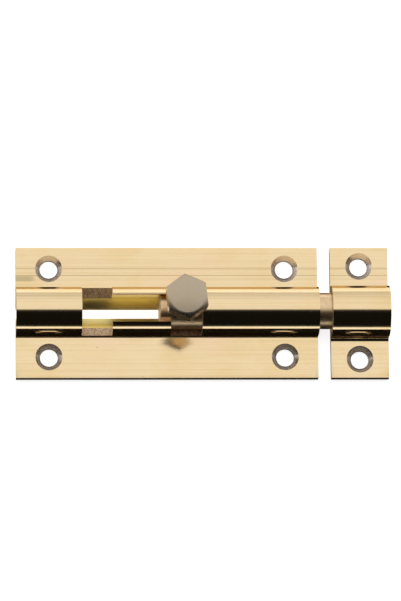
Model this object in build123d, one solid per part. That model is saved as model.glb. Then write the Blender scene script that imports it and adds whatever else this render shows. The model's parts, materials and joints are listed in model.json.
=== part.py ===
from build123d import *
import os
from math import sqrt

# Straight barrel bolt: a case and a keep cut from extruded brass, a round bolt and a hex knob.
# Frame: origin at the centre of the case's back face, +X from the case to the keep, +Z out of
# the plate. The bolt is thrown into the keep and its knob stands straight out. Millimetres.

# plates
CASE_LENGTH = 75.0
PLATE_WIDTH = 33.0
PLATE_THICKNESS = 2.1
KEEP_LENGTH = 14.4
KEEP_GAP = 3.2                  # clear space between the case and the keep
EDGE_BREAK = 0.15               # rounding along the plate's long edges
SAWN_BREAK = 0.12               # chamfer round the sawn ends
CASE_FOOT_FILLET = 0.3          # inside corner between barrel and plate
KEEP_FOOT_FILLET = 1.0

# barrels, open at the back along a narrow slit
AXIS_HEIGHT = 4.55              # bolt axis above the back face
CASE_BARREL_RADIUS = 6.0
CASE_BORE_RADIUS = 4.6
CASE_SLIT_WIDTH = 2.2
KEEP_BARREL_RADIUS = 6.3
KEEP_BORE_RADIUS = 5.0
KEEP_SLIT_WIDTH = 4.4

# knob track in the case's barrel: a slot on the crown between two cross notches
SLOT_WIDTH = 7.0
OPEN_NOTCH_START = -21.25
OPEN_NOTCH_END = -13.7
SHUT_NOTCH_START = 0.7
SHUT_NOTCH_END = 8.5
NOTCH_CUTTER_RADIUS = 8.0
NOTCH_LIP_HEIGHT = 3.65         # where the notch floor meets the barrel's side
OVERCUT = 1.0                   # how far cutters run past the surfaces they cut

# countersunk screw holes
SCREW_RADIUS = 2.2
SINK_RADIUS = 3.35
CASE_SCREW_SPACING_X = 58.6
CASE_SCREW_SPACING_Y = 22.2
KEEP_SCREW_SPACING_Y = 23.4

# bolt
BOLT_RADIUS = 4.5
BOLT_START = -2.1
BOLT_END = 53.5
BOLT_START_CHAMFER = 0.3
BOLT_NOSE_CHAMFER = 0.9

# knob, with heights counted along its own axis from the bolt axis
KNOB_X = 3.85
SADDLE_GAP = 0.04               # between the bolt and the foot that turns round it
THREAD_CREST_RADIUS = 3.0
THREAD_ROOT_RADIUS = 2.55
THREAD_PITCH = 0.8
THREAD_RINGS = 3
THREAD_FLAT = 0.1               # width of each root and crest
THREAD_TOP = 5.55
STEM_FOOT_BREAK = 0.15
STEM_FOOT_RADIUS = 2.83
STEM_TOP_RADIUS = 3.18
STEM_TOP = 12.1
FLARE_MIDDLE_RADIUS = 3.62
FLARE_MIDDLE = 13.75
FLARE_END_RADIUS = 4.65
FLARE_END = 15.0
HEX_ACROSS_FLATS = 9.65
HEX_TURN = 6.3                  # degrees about the knob's axis
BLANK_RADIUS = 6.2              # round bar that the hexagon is milled from
HEX_CORNER_BOTTOM = 15.9
HEX_CORNER_TOP = 20.65
KNOB_RIM = 21.2
KNOB_RIM_RADIUS = 4.5
KNOB_TOP = 21.45

keep_start = CASE_LENGTH / 2 + KEEP_GAP
keep_middle = keep_start + KEEP_LENGTH / 2
hex_corner_radius = HEX_ACROSS_FLATS / sqrt(3)
dome_height = KNOB_TOP - KNOB_RIM
dome_radius = (KNOB_RIM_RADIUS ** 2 + dome_height ** 2) / (2 * dome_height)
along_x = Plane.YZ              # sketches in Y and Z, extruded along +X


def arch(radius):
    """Outer barrel section: upright sides up to the axis, then a half circle."""
    sides = Pos(0, AXIS_HEIGHT / 2) * Rectangle(2 * radius, AXIS_HEIGHT)
    crown = Pos(0, AXIS_HEIGHT) * Circle(radius)
    back = Pos(0, -radius) * Rectangle(3 * radius, 2 * radius)
    return sides + crown - back


def section(barrel_radius, bore_radius, slit_width, foot_fillet):
    """Section of the extrusion: plate and barrel in one, bored and slit."""
    plate = Pos(0, PLATE_THICKNESS / 2) * Rectangle(PLATE_WIDTH, PLATE_THICKNESS)
    outline = plate + arch(barrel_radius)
    feet = [v for v in outline.vertices()
            if abs(v.Y - PLATE_THICKNESS) < 0.01 and abs(abs(v.X) - barrel_radius) < 0.01]
    outline = fillet(feet, foot_fillet)
    corners = [v for v in outline.vertices() if abs(abs(v.X) - PLATE_WIDTH / 2) < 0.01]
    outline = fillet(corners, EDGE_BREAK)
    bore = Pos(0, AXIS_HEIGHT) * Circle(bore_radius)
    slit = Pos(0, (AXIS_HEIGHT - OVERCUT) / 2) * Rectangle(slit_width, AXIS_HEIGHT + OVERCUT)
    return outline - bore - slit


def extrusion(start, length, barrel_radius, bore_radius, slit_width, foot_fillet):
    """A length of the section, with its sawn ends deburred."""
    outline = section(barrel_radius, bore_radius, slit_width, foot_fillet)
    body = Pos(start, 0, 0) * extrude(along_x * outline, length)
    ends = body.faces().filter_by(Axis.X)
    rims = [e for face in ends for e in face.outer_wire().edges()
            if e.center().Z > 0.02 and not on_bore(e, bore_radius)]
    return chamfer(rims, SAWN_BREAK)


def on_bore(edge, bore_radius):
    """True for the bore's circle and the slit's short walls."""
    middle = edge @ 0.5
    reach = sqrt(middle.Y ** 2 + (middle.Z - AXIS_HEIGHT) ** 2)
    return reach < bore_radius + 0.01 or (abs(middle.Y) < bore_radius / 2 and middle.Z < 1)


def screw_hole(x, y):
    """Cutter for one countersunk screw hole."""
    sink_depth = SINK_RADIUS - SCREW_RADIUS
    shank = Pos(x, y, 0) * Cylinder(SCREW_RADIUS, 4 * PLATE_THICKNESS)
    cone = Cone(SCREW_RADIUS, SINK_RADIUS + OVERCUT, sink_depth + OVERCUT)
    floor = PLATE_THICKNESS - sink_depth
    return shank + Pos(x, y, floor + (sink_depth + OVERCUT) / 2) * cone


def notch(start, end):
    """Cutter for a cross notch: a disc milled down over the barrel."""
    reach = sqrt(NOTCH_CUTTER_RADIUS ** 2 - CASE_BARREL_RADIUS ** 2)
    disc = Cylinder(NOTCH_CUTTER_RADIUS, end - start)
    middle = Vector((start + end) / 2, 0, NOTCH_LIP_HEIGHT + reach)
    return Pos(middle) * Rot(0, 90, 0) * disc


def make_case():
    body = extrusion(-CASE_LENGTH / 2, CASE_LENGTH,
                     CASE_BARREL_RADIUS, CASE_BORE_RADIUS, CASE_SLIT_WIDTH, CASE_FOOT_FILLET)
    body -= notch(OPEN_NOTCH_START, OPEN_NOTCH_END)
    body -= notch(SHUT_NOTCH_START, SHUT_NOTCH_END)
    slot_length = SHUT_NOTCH_START - OPEN_NOTCH_END + 2 * OVERCUT
    slot_height = CASE_BARREL_RADIUS + OVERCUT
    slot = Box(slot_length, SLOT_WIDTH, slot_height)
    slot_middle = (OPEN_NOTCH_END + SHUT_NOTCH_START) / 2
    body -= Pos(slot_middle, 0, AXIS_HEIGHT + slot_height / 2) * slot
    for x in (-CASE_SCREW_SPACING_X / 2, CASE_SCREW_SPACING_X / 2):
        for y in (-CASE_SCREW_SPACING_Y / 2, CASE_SCREW_SPACING_Y / 2):
            body -= screw_hole(x, y)
    return body


def make_keep():
    body = extrusion(keep_start, KEEP_LENGTH,
                     KEEP_BARREL_RADIUS, KEEP_BORE_RADIUS, KEEP_SLIT_WIDTH, KEEP_FOOT_FILLET)
    for y in (-KEEP_SCREW_SPACING_Y / 2, KEEP_SCREW_SPACING_Y / 2):
        body -= screw_hole(keep_middle, y)
    return body


def make_bolt():
    """Plain round bar, the same all round, so it looks the same however far it has turned."""
    bar = Rot(0, 90, 0) * Cylinder(BOLT_RADIUS, BOLT_END - BOLT_START)
    bar = Pos((BOLT_START + BOLT_END) / 2, 0, AXIS_HEIGHT) * bar
    tail = bar.edges().filter_by(GeomType.CIRCLE).sort_by(Axis.X)[0]
    bar = chamfer(tail, BOLT_START_CHAMFER)
    nose = bar.edges().filter_by(GeomType.CIRCLE).sort_by(Axis.X)[-1]
    return chamfer(nose, BOLT_NOSE_CHAMFER)


def on_line(radius, height, corner_height):
    """Height at the blank's radius of the bevel that passes through a hexagon corner."""
    slope = (corner_height - height) / (hex_corner_radius - radius)
    return height + slope * (BLANK_RADIUS - radius)


def knob_outline():
    """Half profile of the turned knob, radius along X and height along Y."""
    bottom = THREAD_TOP - THREAD_RINGS * THREAD_PITCH
    points = [(0, bottom)]
    for ring in range(THREAD_RINGS):
        height = bottom + ring * THREAD_PITCH
        crest = height + THREAD_PITCH / 2
        points += [(THREAD_ROOT_RADIUS, height), (THREAD_ROOT_RADIUS, height + THREAD_FLAT),
                   (THREAD_CREST_RADIUS, crest), (THREAD_CREST_RADIUS, crest + THREAD_FLAT)]
    points += [(THREAD_ROOT_RADIUS, THREAD_TOP), (STEM_FOOT_RADIUS - STEM_FOOT_BREAK, THREAD_TOP),
               (STEM_FOOT_RADIUS, THREAD_TOP + STEM_FOOT_BREAK), (STEM_TOP_RADIUS, STEM_TOP)]
    foot = Polyline(*points)
    flare = Spline((STEM_TOP_RADIUS, STEM_TOP), (FLARE_MIDDLE_RADIUS, FLARE_MIDDLE),
                   (FLARE_END_RADIUS, FLARE_END), tangents=[(0.05, 1), (1, 0.75)])
    head = Polyline((FLARE_END_RADIUS, FLARE_END),
                    (BLANK_RADIUS, on_line(FLARE_END_RADIUS, FLARE_END, HEX_CORNER_BOTTOM)),
                    (BLANK_RADIUS, on_line(KNOB_RIM_RADIUS, KNOB_RIM, HEX_CORNER_TOP)),
                    (KNOB_RIM_RADIUS, KNOB_RIM))
    dome_middle = KNOB_TOP - dome_radius + sqrt(dome_radius ** 2 - KNOB_RIM_RADIUS ** 2 / 4)
    dome = ThreePointArc((KNOB_RIM_RADIUS, KNOB_RIM), (KNOB_RIM_RADIUS / 2, dome_middle),
                         (0, KNOB_TOP))
    back = Line((0, KNOB_TOP), (0, bottom))
    return make_face([foot, flare, head, dome, back])


def make_knob():
    """Knob with its foot hollowed to sit round the bolt."""
    turned = revolve(Plane.XZ * knob_outline(), Axis.Z)
    hexagon = RegularPolygon(hex_corner_radius, 6, rotation=HEX_TURN - 90)
    waste = Circle(2 * hex_corner_radius) - hexagon
    milled = turned - extrude(Pos(0, 0, STEM_TOP) * waste, KNOB_TOP - STEM_TOP + OVERCUT)
    saddle = Rot(0, 90, 0) * Cylinder(BOLT_RADIUS + SADDLE_GAP, 4 * THREAD_CREST_RADIUS)
    return Pos(KNOB_X, 0, AXIS_HEIGHT) * (milled - saddle)


parts = {"case": make_case, "keep": make_keep, "bolt": make_bolt, "knob": make_knob}

os.makedirs("parts", exist_ok=True)
for name, make in parts.items():
    shape = make()
    export_step(shape, f"parts/{name}.step")
    print(name, "volume", round(shape.volume, 2), "mm3")
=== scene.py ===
import json
import math

import bmesh
import bpy
from mathutils import Matrix, Vector


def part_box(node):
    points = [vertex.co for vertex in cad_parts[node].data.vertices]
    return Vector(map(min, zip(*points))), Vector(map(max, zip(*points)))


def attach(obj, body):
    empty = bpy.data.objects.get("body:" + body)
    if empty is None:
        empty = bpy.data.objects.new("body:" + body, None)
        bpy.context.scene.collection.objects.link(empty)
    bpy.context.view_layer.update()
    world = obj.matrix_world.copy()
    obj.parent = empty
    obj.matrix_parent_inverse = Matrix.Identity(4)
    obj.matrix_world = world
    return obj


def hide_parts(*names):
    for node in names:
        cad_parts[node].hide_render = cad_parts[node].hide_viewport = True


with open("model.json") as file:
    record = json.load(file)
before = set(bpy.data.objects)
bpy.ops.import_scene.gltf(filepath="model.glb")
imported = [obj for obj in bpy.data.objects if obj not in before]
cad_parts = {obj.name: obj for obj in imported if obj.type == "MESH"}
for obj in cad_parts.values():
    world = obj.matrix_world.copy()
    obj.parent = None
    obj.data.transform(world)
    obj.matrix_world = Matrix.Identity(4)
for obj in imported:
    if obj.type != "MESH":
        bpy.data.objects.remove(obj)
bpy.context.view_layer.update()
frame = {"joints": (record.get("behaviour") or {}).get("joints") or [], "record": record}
mm = 0.001
merge = 1e-5                    # points nearer than this, in millimetres, are one
seam = 1e-4                     # and across a mirror
print("frame loaded")

# places that every piece shares, in millimetres
knobJoint = next(j for j in frame["joints"] if j["name"] == "knob_turn")
knobX = knobJoint["pos_m"][0] / mm
axisHeight = knobJoint["pos_m"][2] / mm
mounts = {m["name"]: m for m in frame["record"]["mounts"]}


def nodeBox(node):
    low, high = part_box(node)
    return low / mm, high / mm


# mesh tools

class Pen:
    # draws a chain of edges in one plane, point by point and arc by arc
    def __init__(self, start):
        self.bm = bmesh.new()
        self.tip = self.bm.verts.new(start)

    def line(self, *points):
        for point in points:
            made = bmesh.ops.extrude_vert_indiv(self.bm, verts=[self.tip])
            self.tip = made["verts"][0]
            self.tip.co = point
        return self

    def arc(self, centre, degrees, axis, steps):
        made = bmesh.ops.spin(self.bm, geom=[self.tip], cent=centre, axis=axis,
                              angle=math.radians(degrees), steps=steps)
        self.tip = next(v for v in made["geom_last"] if isinstance(v, bmesh.types.BMVert))
        return self

    def sweep(self, axisPoint, steps):
        # turns the chain into a closed round shape about a line along Z
        bmesh.ops.spin(self.bm, geom=self.bm.verts[:] + self.bm.edges[:], cent=axisPoint,
                       axis=(0, 0, 1), angle=math.tau, steps=steps, use_merge=True)
        bmesh.ops.remove_doubles(self.bm, verts=self.bm.verts, dist=merge)
        bmesh.ops.recalc_face_normals(self.bm, faces=self.bm.faces)
        return self.bm


def box(low, high):
    bm = bmesh.new()
    bmesh.ops.create_cube(bm, size=1)
    low, high = Vector(low), Vector(high)
    bmesh.ops.scale(bm, vec=high - low, verts=bm.verts)
    bmesh.ops.translate(bm, vec=(low + high) / 2, verts=bm.verts)
    return bm


def rodAlongX(start, end, radius, height, segments):
    bm = bmesh.new()
    bmesh.ops.create_cone(bm, cap_ends=True, segments=segments, radius1=radius, radius2=radius,
                          depth=end - start)
    bmesh.ops.rotate(bm, cent=(0, 0, 0), matrix=Matrix.Rotation(math.pi / 2, 3, "Y"), verts=bm.verts)
    bmesh.ops.translate(bm, vec=((start + end) / 2, 0, height), verts=bm.verts)
    return bm


def asObject(name, bm):
    mesh = bpy.data.meshes.new(name)
    bm.to_mesh(mesh)
    bm.free()
    made = bpy.data.objects.new(name, mesh)
    bpy.context.scene.collection.objects.link(made)
    return made


def cutAway(bm, cutters):
    target = asObject("blank", bm)
    tools = [asObject("cutter", cutter) for cutter in cutters]
    for tool in tools:
        step = target.modifiers.new("cut", "BOOLEAN")
        step.operation = "DIFFERENCE"
        step.solver = "EXACT"
        step.object = tool
    shaped = target.evaluated_get(bpy.context.evaluated_depsgraph_get())
    mesh = bpy.data.meshes.new_from_object(shaped)
    result = bmesh.new()
    result.from_mesh(mesh)
    bmesh.ops.remove_doubles(result, verts=result.verts, dist=merge)
    bpy.data.meshes.remove(mesh)
    for used in [target, *tools]:
        bpy.data.objects.remove(used)
    return result


def finishPiece(name, bm, node, body, materials, edges):
    # from millimetres to metres, with softly broken edges of one width past one angle
    for face in bm.faces:
        face.smooth = True
    bmesh.ops.scale(bm, vec=(mm, mm, mm), verts=bm.verts)
    piece = asObject(name, bm)
    for material in materials:
        piece.data.materials.append(material)
    soft = piece.modifiers.new("brokenEdges", "BEVEL")
    soft.width = edges["width"] * mm
    soft.segments = 2
    soft.limit_method = "ANGLE"
    soft.angle_limit = math.radians(edges["angle"])
    soft.harden_normals = True
    soft.miter_outer = "MITER_ARC"
    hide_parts(node)
    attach(piece, body)
    print(name, "made,", len(piece.data.polygons), "faces")


# shader tools

class Value:
    # one socket, so that sums on it add Math nodes
    def __init__(self, shader, socket):
        self.shader = shader
        self.socket = socket

    def math(self, operation, *others):
        inputs = dict(enumerate([self, *others]))
        return self.shader.node("ShaderNodeMath", {"operation": operation}, inputs).value()

    def __add__(self, other):
        return self.math("ADD", other)

    def __sub__(self, other):
        return self.math("SUBTRACT", other)

    def __mul__(self, other):
        return self.math("MULTIPLY", other)

    def __rsub__(self, other):
        return (self * -1).math("ADD", other)

    __radd__ = __add__
    __rmul__ = __mul__

    def size(self):
        return self.math("ABSOLUTE")

    def between(self, low, high):
        # 0 at low and 1 at high, with soft ends
        settings = {"interpolation_type": "SMOOTHSTEP"}
        inputs = {"Value": self, "From Min": low, "From Max": high}
        return self.shader.node("ShaderNodeMapRange", settings, inputs).value("Result")


class Node:
    def __init__(self, shader, node):
        self.shader = shader
        self.node = node

    def value(self, name=0):
        return Value(self.shader, self.node.outputs[name])


class Shader:
    def __init__(self, tree):
        self.tree = tree

    def node(self, kind, settings=None, inputs=None):
        made = self.tree.nodes.new(kind)
        for key, setting in (settings or {}).items():
            setattr(made, key, setting)
        for key, given in (inputs or {}).items():
            socket = made.inputs[key]
            if isinstance(given, Value):
                self.tree.links.new(given.socket, socket)
            else:
                socket.default_value = given
        return Node(self, made)

    def objectPoint(self):
        return self.node("ShaderNodeTexCoord").value("Object")

    def axes(self, point):
        # the three coordinates in millimetres
        split = self.node("ShaderNodeSeparateXYZ", None, {0: point})
        return [split.value(i) * (1 / mm) for i in range(3)]

    def noise(self, point, perMm, detail=3, roughness=0.55, distortion=0, offset=(0, 0, 0)):
        # perMm is how many features there are to a millimetre along each axis
        placed = self.node("ShaderNodeMapping", {"vector_type": "POINT"},
                           {"Vector": point, "Location": offset, "Scale": [s / mm for s in perMm]})
        return self.node("ShaderNodeTexNoise", None, {
            "Vector": placed.value(), "Scale": 1, "Detail": detail, "Roughness": roughness,
            "Distortion": distortion}).value("Fac")

    def blend(self, amount, first, second):
        # sockets 0, 6 and 7 of a Mix node are the factor and the colours, and output 2 the mixed colour
        return self.node("ShaderNodeMix", {"data_type": "RGBA"}, {0: amount, 6: first, 7: second}).value(2)

    def stain(self, colour, noise, how):
        # lays a brass colour over another where the noise is high
        patch = noise.between(*how["between"]) * how["strength"]
        return self.blend(patch, colour, brassColours[how["colour"]])

    def rings(self, across, along, perMm):
        # a wave that runs outwards from a middle, by the two distances from it
        return ((across * across + along * along).math("SQRT") * perMm).math("SINE")

    def bump(self, height, depth, normal=None):
        inputs = {"Height": height, "Distance": depth * mm, "Strength": 1}
        if normal:
            inputs["Normal"] = normal
        return self.node("ShaderNodeBump", None, inputs).value("Normal")


def metal(name, recipe):
    material = bpy.data.materials.new(name)
    material.use_nodes = True
    shader = Shader(material.node_tree)
    surface = material.node_tree.nodes["Principled BSDF"]
    surface.inputs["Metallic"].default_value = 1
    for key, given in recipe(shader).items():
        socket = surface.inputs[key]
        if isinstance(given, Value):
            material.node_tree.links.new(given.socket, socket)
        else:
            socket.default_value = given
    return material


# materials

brassColours = {
    "clean": (0.86, 0.675, 0.405, 1),
    "warm": (0.83, 0.61, 0.31, 1),
    "dull": (0.60, 0.44, 0.22, 1),
    "bar": (0.80, 0.60, 0.36, 1),
    "barDark": (0.55, 0.36, 0.20, 1),
    "face": (0.46, 0.39, 0.29, 1),
    "faceEdgeTint": (0.5, 0.48, 0.45, 1),
    "edgeTint": (0.82, 0.72, 0.55, 1),
    "milled": (0.93, 0.73, 0.53, 1),
    "milledDark": (0.42, 0.26, 0.15, 1),
    "sink": (0.97, 0.86, 0.74, 1),
    "sinkDark": (0.50, 0.34, 0.24, 1),
    "bore": (0.90, 0.74, 0.30, 1),
    "boreDark": (0.62, 0.48, 0.17, 1),
    "pit": (0.16, 0.11, 0.06, 1),
    "groove": (0.33, 0.24, 0.12, 1),
    "olive": (0.42, 0.36, 0.20, 1),
    "blush": (0.88, 0.63, 0.43, 1),
}

extrusionFinish = {
    # each noise by how many features it has to a millimetre along each axis
    "lines": {"perMm": (0.012, 4.5, 4.5), "detail": 4, "roughness": 0.7},
    "waves": {"perMm": (0.02, 0.55, 0.55), "detail": 2, "roughness": 0.5, "offset": (3, 1, 0)},
    "clouds": {"perMm": (0.09, 0.16, 0.16), "roughness": 0.6, "distortion": 0.4},
    "pits": {"perMm": (1.7, 1.9, 1.9), "detail": 1, "roughness": 0.4},
    "scratches": {"perMm": (0.25, 5.0, 5.0), "detail": 2, "roughness": 0.8, "distortion": 0.6,
                  "offset": (7, 2, 4)},
    "bands": {"perMm": (0.004, 1.6, 1.6), "detail": 2, "roughness": 0.5, "offset": (9, 4, 2)},
    "blushes": {"perMm": (0.05, 0.11, 0.11), "detail": 2, "roughness": 0.5, "distortion": 0.3,
                "offset": (2, 9, 5)},
    # each stain by its colour, and by where in its noise it starts and is full
    "cloudStain": {"colour": "warm", "between": (0.35, 0.75), "strength": 0.75},
    "lineStain": {"colour": "dull", "between": (0.5, 0.75), "strength": 0.55},
    "bandStain": {"colour": "dull", "between": (0.55, 0.72), "strength": 0.3},
    "blushStain": {"colour": "blush", "between": (0.5, 0.8), "strength": 0.7},
    "pitStain": {"colour": "pit", "between": (0.79, 0.84), "strength": 0.8},
    "scratchBetween": (0.70, 0.78),
    "roughness": 0.045,
    "roughened": {"clouds": 0.05, "lines": 0.06, "scratches": 0.12, "grooves": 0.1},
    "lineDepth": 0.0009,        # fine draw lines
    "waveDepth": 0.004,         # slow waves across the section
    "scratchDepth": 0.6,        # against the lines' depth, as is the grooves'
    "grooveDepth": 2,
    "grooves": (9.4, 11.1),     # two deeper draw lines on one side of the plate
    "grooveWidth": 0.11,
    "grooveWander": 0.06,
    "grooveHeights": (1.9, 2.05),
    "grooveStain": 0.95,
    "tarnishEnd": -32.0,        # a dull strip from the sawn end to here
    "tarnishFade": 2,
    "tarnishMiddle": 8.6,       # its distance across
    "tarnishEdge": (0.5, 0.8),
    "tarnish": (0.45, 0.5),     # how strong at least, and how much the lines add
}


def extrudedRecipe(shader):
    finish, rougher = extrusionFinish, extrusionFinish["roughened"]
    point = shader.objectPoint()
    x, y, z = shader.axes(point)
    names = ("lines", "waves", "clouds", "pits", "scratches", "bands", "blushes")
    lines, waves, clouds, pits, scratches, bands, blushes = [
        shader.noise(point, **finish[name]) for name in names]
    scratches = scratches.between(*finish["scratchBetween"])
    grooves = 0
    for place in finish["grooves"]:
        across = y + (waves - 0.5) * finish["grooveWander"]
        groove = 1 - (across - place).size().between(0, finish["grooveWidth"])
        grooves = groove * z.between(*finish["grooveHeights"]) + grooves
    least, more = finish["tarnish"]
    strip = 1 - x.between(finish["tarnishEnd"] - finish["tarnishFade"], finish["tarnishEnd"])
    strip = strip * (1 - (y - finish["tarnishMiddle"]).size().between(*finish["tarnishEdge"]))
    colour = shader.stain(brassColours["clean"], clouds, finish["cloudStain"])
    colour = shader.stain(colour, lines, finish["lineStain"])
    colour = shader.blend(strip * (lines * more + least), colour, brassColours["olive"])
    colour = shader.stain(colour, bands, finish["bandStain"])
    colour = shader.stain(colour, blushes, finish["blushStain"])
    colour = shader.blend(grooves.math("MINIMUM", 1) * finish["grooveStain"], colour, brassColours["groove"])
    colour = shader.stain(colour, pits, finish["pitStain"])
    rough = (clouds * rougher["clouds"] + lines * rougher["lines"] + scratches * rougher["scratches"]
             + grooves * rougher["grooves"] + finish["roughness"])
    height = lines - scratches * finish["scratchDepth"] - grooves * finish["grooveDepth"]
    swell = shader.bump(waves, finish["waveDepth"])
    return {"Base Color": colour, "Roughness": rough,
            "Normal": shader.bump(height, finish["lineDepth"], swell),
            "Specular Tint": brassColours["edgeTint"]}


boreFinish = {
    "streaks": {"perMm": (0.03, 2.2, 2.2), "roughness": 0.65},
    "clouds": {"perMm": (0.12, 0.3, 0.3), "detail": 2, "roughness": 0.5, "distortion": 0.3,
               "offset": (6, 2, 8)},
    "streakStain": {"colour": "boreDark", "between": (0.4, 0.75), "strength": 0.55},
    "roughness": 0.27,
    "roughened": 0.15,
    "depth": 0.006,
}


def boreRecipe(shader):
    # inside of the barrels: never polished, so duller and yellower
    finish = boreFinish
    point = shader.objectPoint()
    streaks = shader.noise(point, **finish["streaks"])
    clouds = shader.noise(point, **finish["clouds"])
    return {"Base Color": shader.stain(brassColours["bore"], streaks, finish["streakStain"]),
            "Roughness": clouds * finish["roughened"] + finish["roughness"],
            "Normal": shader.bump(streaks, finish["depth"])}


milledFinish = {
    "strokes": {"perMm": (2.6, 0.5, 2.6), "roughness": 0.65, "distortion": 0.3},
    "chatter": {"perMm": (1.1, 0.35, 0.8), "detail": 2, "roughness": 0.6, "offset": (5, 0, 2)},
    "strokeStain": {"colour": "milledDark", "between": (0.4, 0.6), "strength": 0.7},
    "chatterStain": {"colour": "warm", "between": (0.45, 0.65), "strength": 0.3},
    "metallic": 0.75,
    "roughness": 0.42,
    "roughened": 0.2,
    "depth": 0.05,
}


def milledRecipe(shader):
    # sawn ends and milled notches, with coarse tool strokes
    finish = milledFinish
    point = shader.objectPoint()
    strokes = shader.noise(point, **finish["strokes"])
    chatter = shader.noise(point, **finish["chatter"])
    colour = shader.stain(brassColours["milled"], strokes, finish["strokeStain"])
    return {"Base Color": shader.stain(colour, chatter, finish["chatterStain"]),
            "Metallic": finish["metallic"],
            "Roughness": strokes * finish["roughened"] + finish["roughness"],
            "Normal": shader.bump(strokes + chatter, finish["depth"])}


sinkFinish = {
    "chatter": {"perMm": (3, 3, 3), "detail": 2, "roughness": 0.6},
    "chatterStain": {"colour": "sinkDark", "between": (0.4, 0.8), "strength": 0.4},
    "rings": 26,                # radians to a millimetre of radius
    "ringDepth": 0.5,           # against the chatter's
    "metallic": 0.9,
    "roughness": 0.2,
    "roughened": 0.1,
    "depth": 0.006,
}


def sinkRecipe(centreX, spacingX, spacingY):
    # turned countersinks, with rings about each hole
    def recipe(shader):
        finish = sinkFinish
        point = shader.objectPoint()
        x, y = shader.axes(point)[:2]
        fromX = (x - centreX).size() - spacingX / 2
        fromY = y.size() - spacingY / 2
        rings = shader.rings(fromX, fromY, finish["rings"])
        chatter = shader.noise(point, **finish["chatter"])
        return {"Base Color": shader.stain(brassColours["sink"], chatter, finish["chatterStain"]),
                "Metallic": finish["metallic"],
                "Roughness": chatter * finish["roughened"] + finish["roughness"],
                "Normal": shader.bump(rings * finish["ringDepth"] + chatter, finish["depth"])}
    return recipe


barFinish = {
    "streaks": {"perMm": (0.05, 3.2, 3.2), "detail": 4, "roughness": 0.7},
    "stains": {"perMm": (0.22, 0.35, 0.35), "roughness": 0.6, "distortion": 0.8, "offset": (2, 5, 1)},
    "rings": {"perMm": (4.5, 0.05, 0.05), "detail": 2, "roughness": 0.6},
    "stainStain": {"colour": "barDark", "between": (0.4, 0.75), "strength": 0.65},
    "streakStain": {"colour": "barDark", "between": (0.5, 0.8), "strength": 0.35},
    "ringDepth": 0.5,           # against the streaks'
    "roughness": 0.22,
    "roughened": {"streaks": 0.14, "stains": 0.1},
    "depth": 0.0022,
}


def barRecipe(shader):
    # drawn round bar: streaks along it, rougher than the plate
    finish, rougher = barFinish, barFinish["roughened"]
    point = shader.objectPoint()
    streaks, stains, rings = [shader.noise(point, **finish[name]) for name in ("streaks", "stains", "rings")]
    colour = shader.stain(brassColours["bar"], stains, finish["stainStain"])
    rough = streaks * rougher["streaks"] + stains * rougher["stains"] + finish["roughness"]
    return {"Base Color": shader.stain(colour, streaks, finish["streakStain"]), "Roughness": rough,
            "Normal": shader.bump(streaks + rings * finish["ringDepth"], finish["depth"])}


turnedFinish = {
    "rings": {"perMm": (0.04, 0.04, 6.0), "roughness": 0.7},
    "stains": {"perMm": (0.4, 0.4, 0.25), "roughness": 0.6, "distortion": 0.5, "offset": (4, 1, 6)},
    "stainStain": {"colour": "barDark", "between": (0.35, 0.75), "strength": 0.6},
    "ringStain": {"colour": "dull", "between": (0.5, 0.8), "strength": 0.3},
    "roughness": 0.27,
    "roughened": {"rings": 0.16, "stains": 0.1},
    "depth": 0.005,
}


def turnedRecipe(shader):
    # lathe work on the knob: rings about its own axis
    finish, rougher = turnedFinish, turnedFinish["roughened"]
    point = shader.objectPoint()
    rings, stains = [shader.noise(point, **finish[name]) for name in ("rings", "stains")]
    colour = shader.stain(brassColours["bar"], stains, finish["stainStain"])
    rough = rings * rougher["rings"] + stains * rougher["stains"] + finish["roughness"]
    return {"Base Color": shader.stain(colour, rings, finish["ringStain"]), "Roughness": rough,
            "Normal": shader.bump(rings, finish["depth"])}


flatsFinish = {
    "lines": {"perMm": (5.0, 5.0, 0.06), "detail": 4, "roughness": 0.7},
    "stains": {"perMm": (0.3, 0.3, 0.2), "roughness": 0.6, "distortion": 0.5, "offset": (1, 8, 3)},
    "stainStain": {"colour": "barDark", "between": (0.35, 0.75), "strength": 0.5},
    "lineStain": {"colour": "barDark", "between": (0.5, 0.8), "strength": 0.6},
    "roughness": 0.19,
    "roughened": 0.12,
    "depth": 0.003,
}


def flatsRecipe(shader):
    # flats of the drawn hexagon bar: fine lines along the knob
    finish = flatsFinish
    point = shader.objectPoint()
    lines, stains = [shader.noise(point, **finish[name]) for name in ("lines", "stains")]
    colour = shader.stain(brassColours["bar"], stains, finish["stainStain"])
    return {"Base Color": shader.stain(colour, lines, finish["lineStain"]),
            "Roughness": lines * finish["roughened"] + finish["roughness"],
            "Normal": shader.bump(lines, finish["depth"])}


faceFinish = {
    "chatter": {"perMm": (1.2, 1.2, 1.2), "detail": 2, "roughness": 0.5},
    "chatterStain": {"colour": "dull", "between": (0.4, 0.8), "strength": 0.3},
    "rings": 17,                # radians to a millimetre of radius
    "ringStain": {"colour": "barDark", "between": (0.2, 1), "strength": 0.25},
    "ringDepth": 0.6,
    "chatterDepth": 0.4,
    "roughness": 0.24,
    "roughened": 0.1,
    "depth": 0.006,
}


def faceRecipe(shader):
    # faced end of the knob: rings about the knob's middle
    finish = faceFinish
    point = shader.objectPoint()
    x, y = shader.axes(point)[:2]
    rings = shader.rings(x - knobX, y, finish["rings"])
    chatter = shader.noise(point, **finish["chatter"])
    colour = shader.stain(brassColours["face"], chatter, finish["chatterStain"])
    height = rings * finish["ringDepth"] + chatter * finish["chatterDepth"]
    return {"Base Color": shader.stain(colour, rings, finish["ringStain"]),
            "Roughness": chatter * finish["roughened"] + finish["roughness"],
            "Normal": shader.bump(height, finish["depth"]),
            "Specular Tint": brassColours["faceEdgeTint"]}


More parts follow.
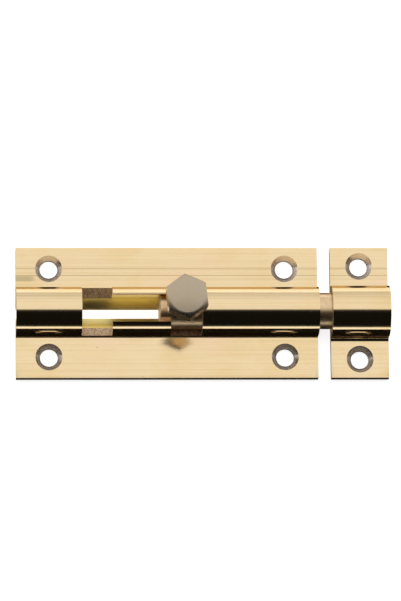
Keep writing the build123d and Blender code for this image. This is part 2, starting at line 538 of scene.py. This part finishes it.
caseMount = mounts["case_screw_holes"]
keepMount = mounts["keep_screw_holes"]
extrudedBrass = metal("extrudedBrass", extrudedRecipe)
milledBrass = metal("milledBrass", milledRecipe)
boreBrass = metal("barrelBore", boreRecipe)
caseSinks = metal("caseCountersinks", sinkRecipe(
    caseMount["pos_m"][0] / mm, caseMount["dims"]["spacing_x_mm"], caseMount["dims"]["spacing_y_mm"]))
keepSinks = metal("keepCountersinks", sinkRecipe(
    keepMount["pos_m"][0] / mm, 0, keepMount["dims"]["spacing_y_mm"]))
barBrass = metal("drawnBar", barRecipe)
turnedBrass = metal("turnedKnob", turnedRecipe)
flatsBrass = metal("knobFlats", flatsRecipe)
faceBrass = metal("knobFace", faceRecipe)
print("materials made")


# case and keep

plateShape = {
    "thickness": 2.1,
    "width": nodeBox("case")[1].y * 2,
    "edgeRadius": 0.15,
    "sinkRadius": 3.35,
    "arcSteps": 48,
    "footSteps": 10,
    "edgeSteps": 4,
    "holeSteps": 96,
    "overcut": 1,
    "edges": {"width": 0.09, "angle": 28},
}
caseShape = {
    "barrelRadius": 6.0,
    "boreRadius": 4.6,
    "slitWidth": 2.2,
    "footRadius": 0.3,
    "slotWidth": 7.0,
    "notches": ((-21.25, -13.7), (0.7, 8.5)),
    "cutterRadius": 8.0,
    "cutterSteps": 192,
    "notchLip": 3.65,
    "tipHeight": 2.4,           # just above the walls' pointed tips
}
keepShape = {"barrelRadius": 6.3, "boreRadius": 5.0, "slitWidth": 4.4, "footRadius": 1.0}
near = 0.01                     # millimetres within which a face counts as on a surface
facing = 0.9                    # a face whose normal has this much of an axis looks along it
leaning = 0.3                   # and with this much it slopes that way
milled, sunk, bored = 1, 2, 3   # places in a plate's list of materials


def extrusion(shape, start, end):
    # half of the section, mirrored across the middle, then pulled out along the bolt
    plate = plateShape
    barrel, bore, slit = shape["barrelRadius"], shape["boreRadius"], shape["slitWidth"] / 2
    top, foot, edge = plate["thickness"], shape["footRadius"], plate["edgeRadius"]
    side = plate["width"] / 2
    along = (1, 0, 0)
    slitAngle = math.degrees(math.acos(slit / bore)) + 90
    pen = Pen((start, 0, axisHeight + barrel))
    pen.arc((start, 0, axisHeight), -90, along, plate["arcSteps"])
    pen.line((start, barrel, top + foot))
    pen.arc((start, barrel + foot, top + foot), 90, along, plate["footSteps"])
    pen.line((start, side - edge, top))
    pen.arc((start, side - edge, top - edge), -90, along, plate["edgeSteps"])
    pen.line((start, side, edge), (start, side - edge, 0), (start, slit, 0))
    pen.line((start, slit, axisHeight - math.sqrt(bore ** 2 - slit ** 2)))
    pen.arc((start, 0, axisHeight), slitAngle, along, plate["arcSteps"])
    bm = pen.bm
    bmesh.ops.mirror(bm, geom=bm.verts[:] + bm.edges[:], axis="Y", merge_dist=seam)
    bmesh.ops.remove_doubles(bm, verts=bm.verts, dist=seam)
    section = bmesh.ops.contextual_create(bm, geom=bm.edges[:])["faces"]
    pulled = bmesh.ops.extrude_face_region(bm, geom=section)["geom"]
    farEnd = [v for v in pulled if isinstance(v, bmesh.types.BMVert)]
    bmesh.ops.translate(bm, vec=(end - start, 0, 0), verts=farEnd)
    bmesh.ops.recalc_face_normals(bm, faces=bm.faces)
    return bm


def screwCutter(x, y, holeRadius):
    top, sink, over = plateShape["thickness"], plateShape["sinkRadius"], plateShape["overcut"]
    floor = top - (sink - holeRadius)
    pen = Pen((x, y, -over))
    pen.line((x + holeRadius, y, -over), (x + holeRadius, y, floor))
    pen.line((x + sink + over, y, top + over), (x, y, top + over))
    return pen.sweep((x, y, 0), plateShape["holeSteps"])


def holePlaces(mount):
    middle, dims = Vector(mount["pos_m"]) / mm, mount["dims"]
    halfX, halfY = dims.get("spacing_x_mm", 0) / 2, dims["spacing_y_mm"] / 2
    columns = (-halfX, halfX) if halfX else (0,)
    return [(middle.x + x, middle.y + y) for x in columns for y in (-halfY, halfY)]


def isSink(face, places, outer):
    # true for a face on the sloping wall of a countersink
    centre = face.calc_center_median()
    offCentre = min(math.hypot(centre.x - x, centre.y - y) for x, y in places)
    sloping = face.normal.z > leaning
    return offCentre < outer and centre.z < plateShape["thickness"] - near and sloping


def isBore(face, shape):
    return not isWall(face) and fromHeight(face, axisHeight) < shape["boreRadius"] + near


def isWall(face):
    return abs(face.normal.x) > facing


def fromHeight(face, height):
    # distance from a line along X at this height
    centre = face.calc_center_median()
    return math.hypot(centre.y, centre.z - height)


def splitWalls(bm, places):
    # the horseshoe walls at the notches' ends, in lengths short enough to fill cleanly
    walls = [face for face in bm.faces if isWall(face)
             and any(abs(face.calc_center_median().x - x) < near for x in places)]
    upright, level = (0, 1, 0), (0, 0, 1)
    for height, normal in ((axisHeight, upright), (axisHeight, level), (caseShape["tipHeight"], level)):
        geom = set(walls)
        for face in walls:
            geom.update(face.edges)
            geom.update(face.verts)
        cut = bmesh.ops.bisect_plane(bm, geom=list(geom), dist=merge,
                                     plane_co=(0, 0, height), plane_no=normal)
        walls = [item for item in cut["geom"] if isinstance(item, bmesh.types.BMFace)]


def makeCase():
    shape = caseShape
    low, high = nodeBox("case")
    reach = math.sqrt(shape["cutterRadius"] ** 2 - shape["barrelRadius"] ** 2)
    cutterHeight = shape["notchLip"] + reach
    openEnd, shutStart = shape["notches"][0][1], shape["notches"][1][0]
    half, over = shape["slotWidth"] / 2, plateShape["overcut"]
    cutters = [rodAlongX(a, b, shape["cutterRadius"], cutterHeight, shape["cutterSteps"])
               for a, b in shape["notches"]]
    cutters.append(box((openEnd - over, -half, axisHeight), (shutStart + over, half, high.z + over)))
    places = holePlaces(caseMount)
    cutters += [screwCutter(x, y, caseMount["dims"]["hole_r_mm"]) for x, y in places]
    bm = cutAway(extrusion(shape, low.x, high.x), cutters)
    splitWalls(bm, [x for notch in shape["notches"] for x in notch])
    for face in bm.faces:
        centre = face.calc_center_median()
        inNotch = any(a - near < centre.x < b + near for a, b in shape["notches"])
        offCutter = abs(fromHeight(face, cutterHeight) - shape["cutterRadius"])
        onNotch = inNotch and offCutter < near and not isBore(face, shape)
        onSlot = abs(abs(centre.y) - half) < near and abs(face.normal.y) > facing
        if isSink(face, places, plateShape["sinkRadius"]):
            face.material_index = sunk
        elif onNotch or onSlot or isWall(face):
            face.material_index = milled
        elif isBore(face, shape):
            face.material_index = bored
    finishPiece("caseBody", bm, "case", "case",
                [extrudedBrass, milledBrass, caseSinks, boreBrass], plateShape["edges"])


def makeKeep():
    low, high = nodeBox("keep")
    places = holePlaces(keepMount)
    cutters = [screwCutter(x, y, keepMount["dims"]["hole_r_mm"]) for x, y in places]
    bm = cutAway(extrusion(keepShape, low.x, high.x), cutters)
    for face in bm.faces:
        if isSink(face, places, plateShape["sinkRadius"]):
            face.material_index = sunk
        elif isWall(face):
            face.material_index = milled
        elif isBore(face, keepShape):
            face.material_index = bored
    finishPiece("keepBody", bm, "keep", "keep",
                [extrudedBrass, milledBrass, keepSinks, boreBrass], plateShape["edges"])


# bolt

boltShape = {
    "radius": 4.5,
    "tailChamfer": 0.3,
    "noseChamfer": 0.9,
    "steps": 160,
    "edges": {"width": 0.06, "angle": 28},
}


def makeBolt():
    low, high = nodeBox("bolt")
    radius, tail, nose = boltShape["radius"], boltShape["tailChamfer"], boltShape["noseChamfer"]
    pen = Pen((0, 0, low.x))
    pen.line((radius - tail, 0, low.x), (radius, 0, low.x + tail), (radius, 0, high.x - nose),
             (radius - nose, 0, high.x), (0, 0, high.x))
    bm = pen.sweep((0, 0, 0), boltShape["steps"])
    bmesh.ops.rotate(bm, cent=(0, 0, 0), matrix=Matrix.Rotation(math.pi / 2, 3, "Y"), verts=bm.verts)
    bmesh.ops.translate(bm, vec=(0, 0, axisHeight), verts=bm.verts)
    for face in bm.faces:
        onEnd = abs(face.normal.x) > leaning
        face.material_index = milled if onEnd else 0
    finishPiece("boltBar", bm, "bolt", "bolt", [barBrass, milledBrass], boltShape["edges"])


# knob, with heights from the bolt's axis

knobShape = {
    "threadTop": 5.55,
    "threadPitch": 0.8,
    "threadTurns": 3,
    "threadRoot": 2.55,
    "threadCrest": 3.0,
    "crestFlat": 0.1,
    "ridgeWidth": 0.68,         # where it is sunk into the root
    "ridgeSunk": 0.1,
    "stemFoot": 2.83,
    "stemFootBreak": 0.15,
    "stemTop": (3.18, 12.1),
    "flareEnd": (4.65, 15.0),
    "flareSteps": 10,
    "blankRadius": 6.2,
    "cornerBottom": 15.9,
    "cornerTop": 20.65,
    "flatsFrom": 14.9,          # the hexagon's finishes start above these heights
    "faceFrom": 19.65,
    "plumb": 0.05,              # how little the flats lean
    "rim": (4.5, 21.2),
    "domeSteps": 10,
    "acrossFlats": 9.65,
    "turn": 6.3,                # degrees about its own axis
    "saddleGap": 0.04,
    "saddleSteps": 192,
    "steps": 144,
    "ridgeSteps": 72,           # to a turn
    "edges": {"width": 0.05, "angle": 34},
}
flats, faced = 1, 2             # places in the knob's list of materials


def beyondCorner(inner, cornerHeight):
    # height at the blank's radius of the slope that passes through the hexagon's corners
    cornerRadius = knobShape["acrossFlats"] / math.sqrt(3)
    radius, height = inner
    slope = (cornerHeight - height) / (cornerRadius - radius)
    return height + slope * (knobShape["blankRadius"] - radius)


def threadRidge():
    # one ridge wound up the foot of the knob
    shape = knobShape
    pitch, turns, steps = shape["threadPitch"], shape["threadTurns"], shape["ridgeSteps"]
    root, crest = shape["threadRoot"] - shape["ridgeSunk"], shape["threadCrest"]
    flat, wide = shape["crestFlat"] / 2, shape["ridgeWidth"] / 2
    bottom = axisHeight + shape["threadTop"] - turns * pitch
    pen = Pen((root, 0, bottom - wide))
    pen.line((crest, 0, bottom - flat), (crest, 0, bottom + flat), (root, 0, bottom + wide))
    bm = pen.bm
    profile = bmesh.ops.contextual_create(bm, geom=bm.edges[:])["faces"]
    bmesh.ops.spin(bm, geom=profile, cent=(0, 0, 0), axis=(0, 0, 1), dvec=(0, 0, pitch / steps),
                   angle=math.tau * turns, steps=steps * turns)
    bmesh.ops.recalc_face_normals(bm, faces=bm.faces)
    return bm


def cutHexagon(bm):
    for side in range(6):
        angle = math.radians(knobShape["turn"] + 60 * (side - 1))
        outward = Vector((math.cos(angle), math.sin(angle), 0))
        cut = bmesh.ops.bisect_plane(bm, geom=bm.verts[:] + bm.edges[:] + bm.faces[:], dist=merge,
                                     plane_co=outward * knobShape["acrossFlats"] / 2, plane_no=outward,
                                     clear_outer=True)
        rim = [e for e in cut["geom_cut"] if isinstance(e, bmesh.types.BMEdge)]
        bmesh.ops.contextual_create(bm, geom=rim)
    bmesh.ops.recalc_face_normals(bm, faces=bm.faces)


def makeKnob():
    shape = knobShape
    up = axisHeight
    bottom = shape["threadTop"] - shape["threadTurns"] * shape["threadPitch"]
    rimRadius, rimHeight = shape["rim"]
    blank = shape["blankRadius"]
    domeTop = nodeBox("knob")[1].z - up
    rise = domeTop - rimHeight
    domeRadius = (rimRadius ** 2 + rise ** 2) / (2 * rise)
    foot = [(shape["threadRoot"], bottom), (shape["threadRoot"], shape["threadTop"]),
            (shape["stemFoot"] - shape["stemFootBreak"], shape["threadTop"]),
            (shape["stemFoot"], shape["threadTop"] + shape["stemFootBreak"]), shape["stemTop"]]
    head = [(blank, beyondCorner(shape["flareEnd"], shape["cornerBottom"])),
            (blank, beyondCorner(shape["rim"], shape["cornerTop"])), shape["rim"]]
    stemRadius, stemHeight = shape["stemTop"]
    wider, higher = shape["flareEnd"][0] - stemRadius, shape["flareEnd"][1] - stemHeight
    flareRadius = (wider ** 2 + higher ** 2) / (2 * wider)
    across = (0, 1, 0)
    pen = Pen((0, 0, up + bottom))
    pen.line(*[(radius, 0, up + height) for radius, height in foot])
    flareTurn = math.degrees(math.asin(higher / flareRadius))
    pen.arc((stemRadius + flareRadius, 0, up + stemHeight), flareTurn, across, shape["flareSteps"])
    pen.line(*[(radius, 0, up + height) for radius, height in head])
    domeTurn = -math.degrees(math.asin(rimRadius / domeRadius))
    pen.arc((0, 0, up + domeTop - domeRadius), domeTurn, across, shape["domeSteps"])
    pen.tip.co.x = 0
    bm = pen.sweep((0, 0, 0), shape["steps"])
    cutHexagon(bm)
    saddle = boltShape["radius"] + shape["saddleGap"]
    cutter = rodAlongX(-2 * blank, 2 * blank, saddle, up, shape["saddleSteps"])
    ridge = cutAway(threadRidge(), [cutter.copy()])
    body = cutAway(bm, [cutter])
    spare = bpy.data.meshes.new("ridge")
    ridge.to_mesh(spare)
    ridge.free()
    body.from_mesh(spare)
    bpy.data.meshes.remove(spare)
    for face in body.faces:
        height = face.calc_center_median().z - up
        if height > shape["flatsFrom"] and abs(face.normal.z) < shape["plumb"]:
            face.material_index = flats
        elif height > shape["faceFrom"] and face.normal.z > leaning:
            face.material_index = faced
    bmesh.ops.translate(body, vec=(knobX, 0, 0), verts=body.verts)
    finishPiece("knobTurned", body, "knob", "knob",
                [turnedBrass, flatsBrass, faceBrass], shape["edges"])


makeCase()
makeKeep()
makeBolt()
makeKnob()


# studio

studio = {
    # directions are in degrees from straight up, towards +Y
    "brightEdge": -2.5,         # where the bright side ends
    "brightSoftness": 2.5,
    "fadeBetween": (30, 100),   # it fades a little on the way down
    "fade": 0.28,
    "spillStart": -14,          # faint light just past its edge
    "spill": 0.1,
    "horizonBetween": (-93, -80),
    "horizonGlow": 0.22,        # on the dark side, low down
    "darkRoom": 0.007,
    "backdrop": 0.93,
    "floorColour": (0.8, 0.8, 0.8, 1),
    "floorGlow": 0.84,
    "floorRadius": 1.6,         # metres
    "floorSteps": 96,
    "floorGap": 0.1,            # millimetres of floor below the plates, with the flags in between
    "flagColour": (0.015, 0.012, 0.01, 1),
    "flagThickness": 0.01,
    "flags": (((-70, -42), (90, -1.6)), ((-70, 1.6), (90, 16.2))),
}


def makeWorld():
    world = bpy.data.worlds.new("studio")
    world.use_nodes = True
    bpy.context.scene.world = world
    shader = Shader(world.node_tree)
    direction = shader.node("ShaderNodeTexCoord").value("Generated")
    split = shader.node("ShaderNodeSeparateXYZ", None, {0: direction})
    across, height = split.value(1), split.value(2)
    tilt = across.math("ARCTAN2", height) * math.degrees(1)
    edge, soft = studio["brightEdge"], studio["brightSoftness"]
    bright = tilt.between(edge - soft, edge + soft)
    fade = 1 - tilt.between(*studio["fadeBetween"]) * studio["fade"]
    horizon = (1 - tilt.between(*studio["horizonBetween"])) * studio["horizonGlow"]
    spill = tilt.between(studio["spillStart"], edge) * (1 - bright) * studio["spill"]
    level = bright * fade + spill + horizon + studio["darkRoom"]
    seen = shader.node("ShaderNodeLightPath").value("Is Camera Ray")
    level = level * (1 - seen) + seen * studio["backdrop"]
    background = world.node_tree.nodes["Background"]
    world.node_tree.links.new(level.socket, background.inputs["Strength"])
    background.inputs["Color"].default_value = (1, 1, 1, 1)


def matt(name, colour, glow):
    # a surface with no shine that may give light
    material = bpy.data.materials.new(name)
    material.use_nodes = True
    surface = material.node_tree.nodes["Principled BSDF"]
    surface.inputs["Base Color"].default_value = colour
    surface.inputs["Roughness"].default_value = 1
    surface.inputs["Specular IOR Level"].default_value = 0
    surface.inputs["Emission Color"].default_value = (1, 1, 1, 1)
    surface.inputs["Emission Strength"].default_value = glow
    return material


def makeFloor():
    bm = bmesh.new()
    bmesh.ops.create_circle(bm, cap_ends=True, segments=studio["floorSteps"], radius=studio["floorRadius"])
    floor = asObject("floor", bm)
    floor.location.z = -studio["floorGap"] * mm
    floor.data.materials.append(matt("paleFloor", studio["floorColour"], studio["floorGlow"]))


def makeFlags():
    # black flags beside and under the plates, seen only in the brass
    material = matt("blackFlag", studio["flagColour"], 0)
    top = -studio["floorGap"] / 2
    for low, high in studio["flags"]:
        flag = asObject("flag", box((*low, top - studio["flagThickness"]), (*high, top)))
        flag.scale = (mm, mm, mm)
        flag.data.materials.append(material)
        flag.visible_camera = False
        flag.visible_diffuse = False
        flag.visible_shadow = False


view = {
    "distance": 1.2,            # metres
    "leanLeft": 3.4,            # degrees off straight down, towards -X
    "leanBack": 10.5,           # towards -Y
    "aim": (8.5, 3.5),          # millimetres on the plate
    "lens": 289,
    "clip": (0.05, 20),
}


def makeCamera():
    lens = bpy.data.cameras.new("camera")
    lens.lens = view["lens"]
    lens.clip_start, lens.clip_end = view["clip"]
    camera = bpy.data.objects.new("camera", lens)
    bpy.context.scene.collection.objects.link(camera)
    left, back = math.radians(view["leanLeft"]), math.radians(view["leanBack"])
    away = Vector((-math.tan(left), -math.tan(back), 1)).normalized()
    right = (Vector((1, 0, 0)) - away * away.x).normalized()
    up = away.cross(right)
    turn = Matrix((right, up, away)).transposed().to_4x4()
    aim = Vector((*view["aim"], 0)) * mm
    camera.matrix_world = Matrix.Translation(aim + away * view["distance"]) @ turn
    bpy.context.view_layer.update()
    bpy.context.scene.camera = camera


makeWorld()
makeFloor()
makeCamera()
makeFlags()
bpy.context.scene.view_settings.view_transform = "Standard"
print("studio made")
